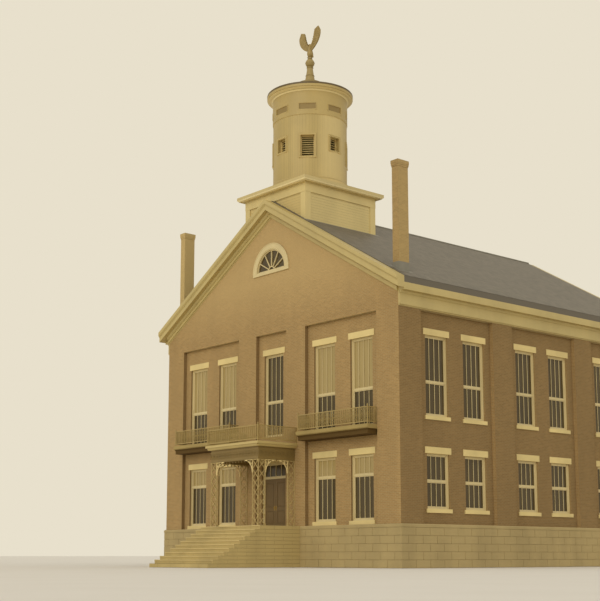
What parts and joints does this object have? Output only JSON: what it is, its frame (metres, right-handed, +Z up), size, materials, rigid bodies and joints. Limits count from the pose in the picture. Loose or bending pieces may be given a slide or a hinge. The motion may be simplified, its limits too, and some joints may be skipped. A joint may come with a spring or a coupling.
{
  "type": "town hall building",
  "caption": "Two-storey brick town hall with a gable front, iron entrance portico and balconies, and a round belfry with a spread eagle on a square block.",
  "frame": {"origin": "on the ground, at the middle of the front pilasters' plane, under the wall", "axes": "+X to the right along the front, +Y back through the building, +Z up"},
  "size_m": [19, 26.83, 28.83],
  "materials": {
    "brick": "matt weathered brick",
    "base_stone": "dressed ashlar",
    "trim_stone": "smooth dressed stone",
    "step_stone": "worn stone",
    "floor_boards": "planed boards",
    "roof_covering": "slate",
    "white_trim": "oil-painted boards",
    "window_wood": "oil-painted joinery",
    "window_glass": "old glass",
    "cupola_wood": "oil-painted boards",
    "louvre_wood": "dark painted slats",
    "dome_metal": "painted sheet metal",
    "eagle_metal": "weathered gilt copper",
    "ironwork": "dark painted iron",
    "door_wood": "dark painted panelled door"
  },
  "bodies": {
    "building": {"stone_base": "base_stone", "ground_floor": "floor_boards", "upper_floor": "floor_boards", "front_left_wall": "brick", "front_right_wall": "brick", "front_centre_wall": "brick", "front_gable": "brick", "left_wall": "brick", "right_wall": "brick", "back_wall": "brick", "left_roof": "roof_covering", "right_roof": "roof_covering", "front_raking_cornice": "white_trim", "back_raking_cornice": "white_trim", "left_eave_cornice": "white_trim", "right_eave_cornice": "white_trim", "window_lintels": "trim_stone", "window_sills": "trim_stone", "front_windows": "window_wood", "left_windows": "window_wood", "right_windows": "window_wood", "back_windows": "window_wood", "fan_window": "window_wood", "lower_glass": "window_glass", "upper_glass": "window_glass", "attic_block": "cupola_wood", "attic_block_cornice": "cupola_wood", "belfry_front_walls": "cupola_wood", "belfry_corner_walls": "cupola_wood", "belfry_louvres": "louvre_wood", "belfry_entablature": "cupola_wood", "dome": "dome_metal", "ball_finial": "cupola_wood", "eagle": "eagle_metal", "left_chimney": "brick", "right_chimney": "brick", "left_balcony": "trim_stone", "right_balcony": "trim_stone", "left_balcony_railing": "ironwork", "right_balcony_railing": "ironwork", "portico_floor": "step_stone", "entrance_steps": "step_stone", "portico_posts": "ironwork", "portico_brackets": "ironwork", "portico_entablature": "ironwork", "portico_railing": "ironwork", "door_frame": "window_wood"},
    "left_leaf": {"left_door": "door_wood"},
    "right_leaf": {"right_door": "door_wood"}
  },
  "joints": [
    {"name": "left_door_hinge", "type": "hinge", "parent": "building", "child": "left_leaf", "pos_m": [-0.84, 0.39, 1.95], "axis": [0, 0, 1], "range_deg": [0, 90]},
    {"name": "right_door_hinge", "type": "hinge", "parent": "building", "child": "right_leaf", "pos_m": [0.84, 0.39, 1.95], "axis": [0, 0, -1], "range_deg": [0, 90]}
  ]
}
